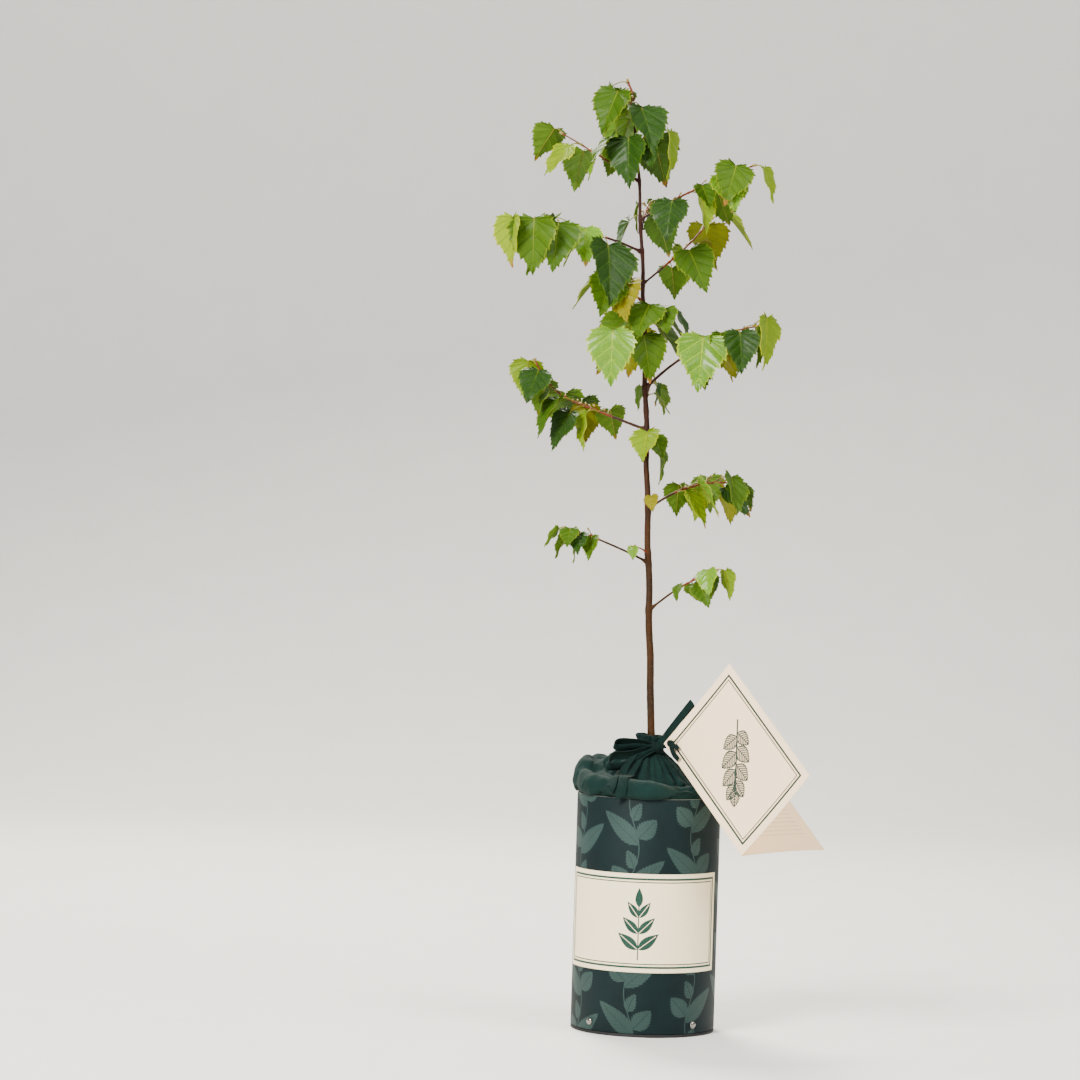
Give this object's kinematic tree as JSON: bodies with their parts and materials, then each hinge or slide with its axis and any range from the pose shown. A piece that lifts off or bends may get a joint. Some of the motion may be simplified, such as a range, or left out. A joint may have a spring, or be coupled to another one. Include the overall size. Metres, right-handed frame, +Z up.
{
  "type": "potted silver birch sapling",
  "caption": "Young silver birch with hanging toothed leaves in a cardboard tube pot, with a drawstring bag round the root ball, a tied ribbon and a folded gift card.",
  "frame": {"origin": "middle of the pot's flat underside", "axes": "+Z up along the stem, -Y towards the front of the label, +X to the right of it"},
  "size_m": [0.2646, 0.1824, 0.7253],
  "materials": {
    "bark": "satin bark",
    "foliage": "leaf",
    "printed_tube": "printed matt",
    "black_base": "matt",
    "label": "uncoated",
    "card": "uncoated",
    "rivet": "polished",
    "compost": "rough",
    "cotton": "woven",
    "ribbon": "woven tape"
  },
  "bodies": {
    "root": {"bag": "cotton", "bough_back_high": "bark", "bough_back_low": "bark", "bough_front_left_twig": "bark", "bough_left": "bark", "bough_left_high": "bark", "bough_left_top": "bark", "bough_low_left": "bark", "bough_low_right": "bark", "bough_right": "bark", "bough_right_high": "bark", "bough_right_mid": "bark", "bough_right_top": "bark", "gift_card": "card", "leaves_back_high": "foliage", "leaves_back_low": "foliage", "leaves_back_spur": "foliage", "leaves_crown_back": "foliage", "leaves_crown_front": "foliage", "leaves_crown_left": "foliage", "leaves_crown_right": "foliage", "leaves_crown_tip": "foliage", "leaves_front_left_twig": "foliage", "leaves_front_spur": "foliage", "leaves_left": "foliage", "leaves_left_high": "foliage", "leaves_left_spur": "foliage", "leaves_left_top": "foliage", "leaves_low_left": "foliage", "leaves_low_right": "foliage", "leaves_right": "foliage", "leaves_right_high": "foliage", "leaves_right_mid": "foliage", "leaves_right_spur": "foliage", "leaves_right_top": "foliage", "leaves_small_left": "foliage", "leaves_small_right": "foliage", "pot_base": "black_base", "pot_label": "label", "pot_tube": "printed_tube", "ribbon": "ribbon", "rivet_1": "rivet", "rivet_2": "rivet", "rivet_3": "rivet", "rivet_4": "rivet", "root_ball": "compost", "trunk": "bark"}
  },
  "joints": []
}
